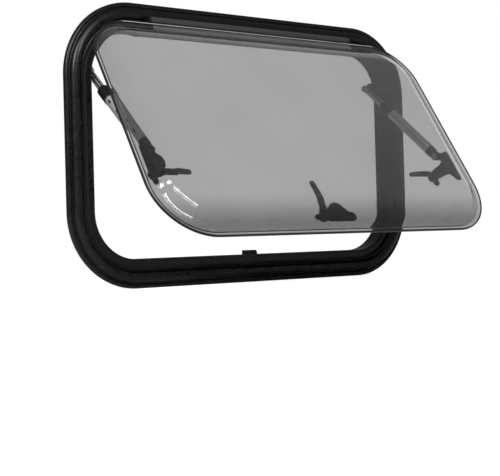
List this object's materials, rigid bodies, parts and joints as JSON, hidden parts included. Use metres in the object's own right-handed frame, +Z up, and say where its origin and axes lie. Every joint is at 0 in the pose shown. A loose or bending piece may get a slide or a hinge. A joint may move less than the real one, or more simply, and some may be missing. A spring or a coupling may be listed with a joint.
{
  "type": "top-hung caravan window",
  "caption": "Top-hung caravan window with a rounded black frame, a domed smoked acrylic sash on a hinge profile, two telescopic stays and turning latches, drawn half open.",
  "frame": {"origin": "on the back of the bottom flange, at its middle, in the plane of the vehicle's outer skin", "axes": "+X to the right seen from outdoors, -Y outdoors, +Z up"},
  "size_m": [0.545, 0.2127, 0.3451],
  "materials": {
    "frame_black": "satin black moulded frame",
    "seal_rubber": "matt black rubber",
    "hinge_metal": "dark anodised",
    "smoked_acrylic": "polished smoked acrylic",
    "inner_acrylic": "polished smoked acrylic",
    "stay_metal": "satin drawn aluminium",
    "black_fittings": "moulded black nylon"
  },
  "bodies": {
    "frame": {"outer_frame": "frame_black", "frame_seal": "seal_rubber", "hinge_channel": "hinge_metal", "hinge_cap_left": "black_fittings", "hinge_cap_right": "black_fittings", "keeper_left": "black_fittings", "keeper_right": "black_fittings", "keeper_bottom": "black_fittings", "stay_bracket_left": "black_fittings", "stay_bracket_right": "black_fittings"},
    "sash": {"outer_pane": "smoked_acrylic", "inner_pane": "inner_acrylic", "hinge_profile": "hinge_metal", "stay_foot_left": "black_fittings", "stay_foot_right": "black_fittings", "latch_base_left": "black_fittings", "latch_base_right": "black_fittings", "latch_base_bottom": "black_fittings", "latch_cap_left": "black_fittings", "latch_cap_right": "black_fittings", "latch_cap_bottom": "black_fittings"},
    "tube_left": {"stay_tube_left": "stay_metal", "stay_collar_left": "black_fittings", "tube_end_left": "black_fittings"},
    "rod_left": {"stay_rod_left": "stay_metal", "rod_eye_left": "stay_metal"},
    "tube_right": {"stay_tube_right": "stay_metal", "stay_collar_right": "black_fittings", "tube_end_right": "black_fittings"},
    "rod_right": {"stay_rod_right": "stay_metal", "rod_eye_right": "stay_metal"},
    "lever_left": {"latch_lever_left": "black_fittings"},
    "lever_right": {"latch_lever_right": "black_fittings"},
    "lever_bottom": {"latch_lever_bottom": "black_fittings"}
  },
  "joints": [
    {"name": "sash_hinge", "type": "hinge", "parent": "frame", "child": "sash", "pos_m": [0, -0.015, 0.31125], "axis": [-1, 0, 0], "range_deg": [-32.8, 10]},
    {"name": "tube_pivot_left", "type": "hinge", "parent": "sash", "child": "tube_left", "pos_m": [-0.22654, -0.10895, 0.14516], "axis": [1, 0, 0], "range_deg": [-1.66, 5.2]},
    {"name": "rod_slide_left", "type": "slide", "parent": "tube_left", "child": "rod_left", "axis": [0, 0.7717, 0.636], "range_m": [-0.03568, 0.01102]},
    {"name": "tube_pivot_right", "type": "hinge", "parent": "sash", "child": "tube_right", "pos_m": [0.22654, -0.10895, 0.14516], "axis": [1, 0, 0], "range_deg": [-1.66, 5.2]},
    {"name": "rod_slide_right", "type": "slide", "parent": "tube_right", "child": "rod_right", "axis": [0, 0.7717, 0.636], "range_m": [-0.03568, 0.01102]},
    {"name": "latch_turn_left", "type": "hinge", "parent": "sash", "child": "lever_left", "pos_m": [-0.222, -0.10664, 0.1181], "axis": [0, 0.8406, -0.5417], "range_deg": [0, 90]},
    {"name": "latch_turn_right", "type": "hinge", "parent": "sash", "child": "lever_right", "pos_m": [0.222, -0.10664, 0.1181], "axis": [0, -0.8406, 0.5417], "range_deg": [0, 90]},
    {"name": "latch_turn_bottom", "type": "hinge", "parent": "sash", "child": "lever_bottom", "pos_m": [-0.002, -0.13914, 0.06767], "axis": [0, -0.8406, 0.5417], "range_deg": [0, 90]}
  ],
  "couplings": [
    {"joint": "tube_pivot_left", "follows": "sash_hinge", "ratio": -0.1555},
    {"joint": "rod_slide_left", "follows": "sash_hinge", "m_per_rad": 0.061977},
    {"joint": "tube_pivot_right", "follows": "sash_hinge", "ratio": -0.1555},
    {"joint": "rod_slide_right", "follows": "sash_hinge", "m_per_rad": 0.061977}
  ]
}
